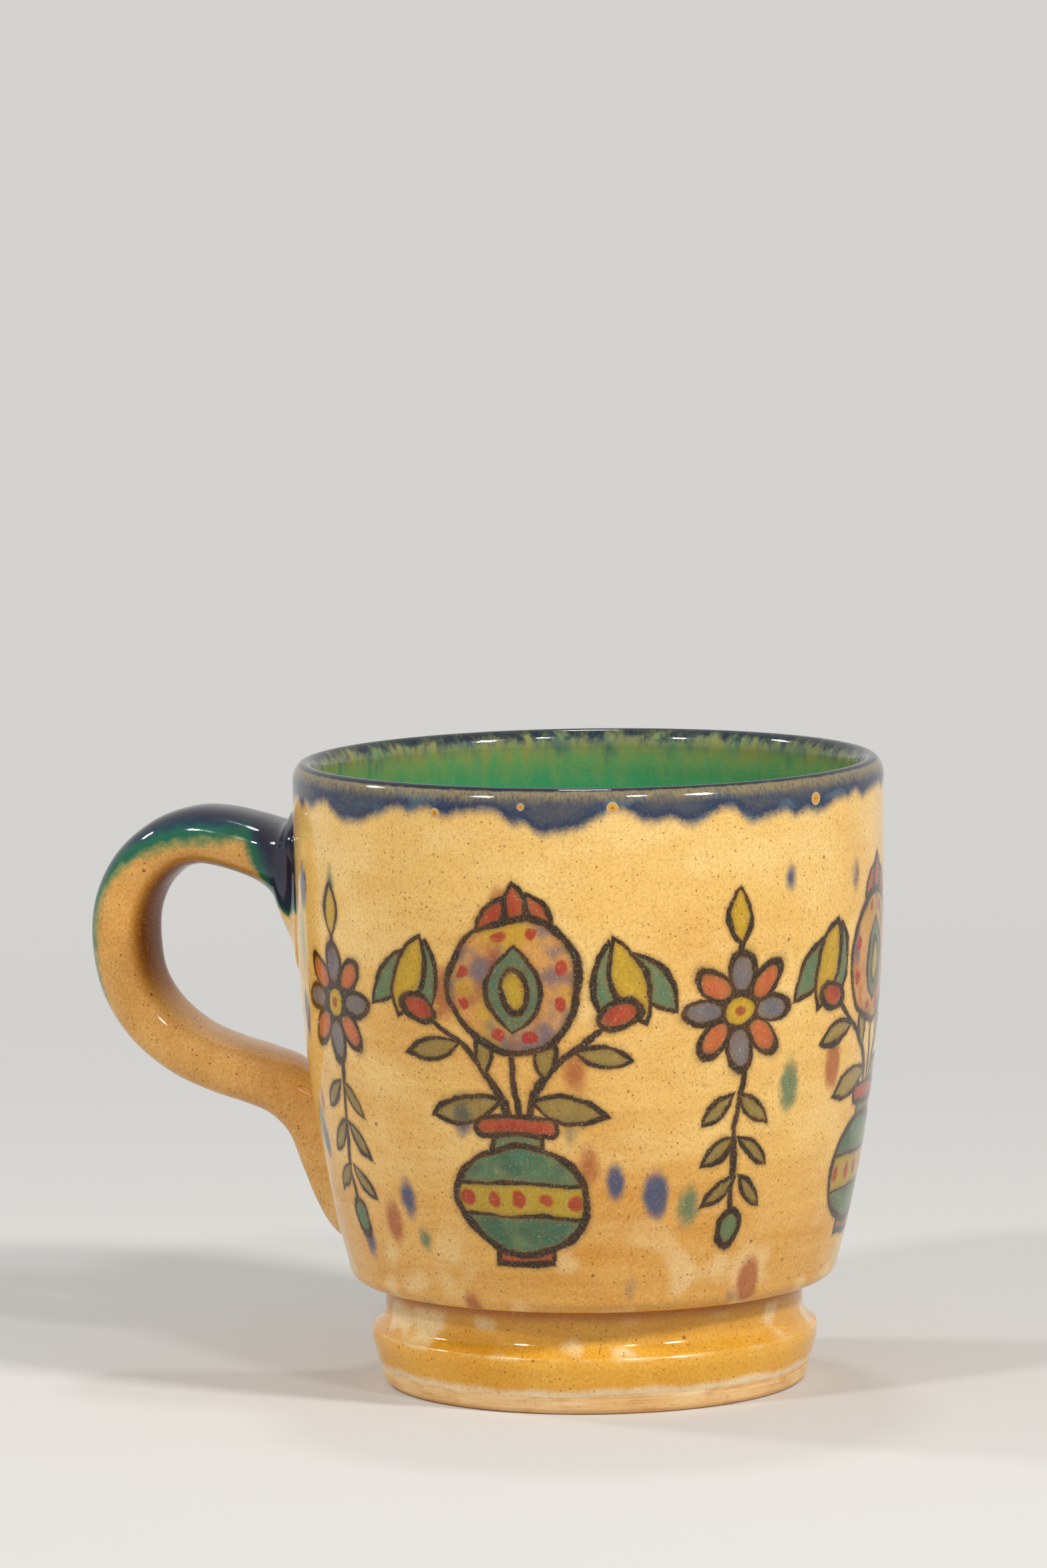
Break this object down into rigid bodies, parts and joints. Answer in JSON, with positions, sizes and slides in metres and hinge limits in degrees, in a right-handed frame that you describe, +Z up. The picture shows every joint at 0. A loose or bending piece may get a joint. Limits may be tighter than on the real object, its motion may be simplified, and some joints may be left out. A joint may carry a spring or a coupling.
{
  "type": "mug",
  "caption": "Hand-thrown stoneware mug with a turned foot ring, a pulled strap handle, a honey glaze, a dark cobalt rim and a green liner.",
  "frame": {"origin": "middle of the foot ring, in the plane that the mug stands on, on the cup's axis", "axes": "+Z up along the cup's axis, handle towards -X, +Y square to the handle's plane"},
  "size_m": [0.1212, 0.088, 0.0933],
  "materials": {
    "cup_clay": "fired stoneware, buff",
    "foot_clay": "fired stoneware, pale and bare at the lower edge",
    "handle_clay": "fired stoneware, buff",
    "upper_slip": "fired slip",
    "lower_slip": "fired slip",
    "liner": "glossy green glaze",
    "wall": "glossy honey glaze with brown specks and painted flowers",
    "rim": "glossy dark cobalt glaze",
    "foot": "glossy amber glaze",
    "strap": "glossy honey glaze, cobalt and copper green on the back"
  },
  "bodies": {
    "root": {"cup_body": "cup_clay", "foot_ring": "foot_clay", "handle": "handle_clay", "upper_slip_joint": "upper_slip", "lower_slip_joint": "lower_slip", "liner_glaze": "liner", "wall_glaze": "wall", "rim_glaze": "rim", "foot_glaze": "foot", "handle_glaze": "strap"}
  },
  "joints": []
}
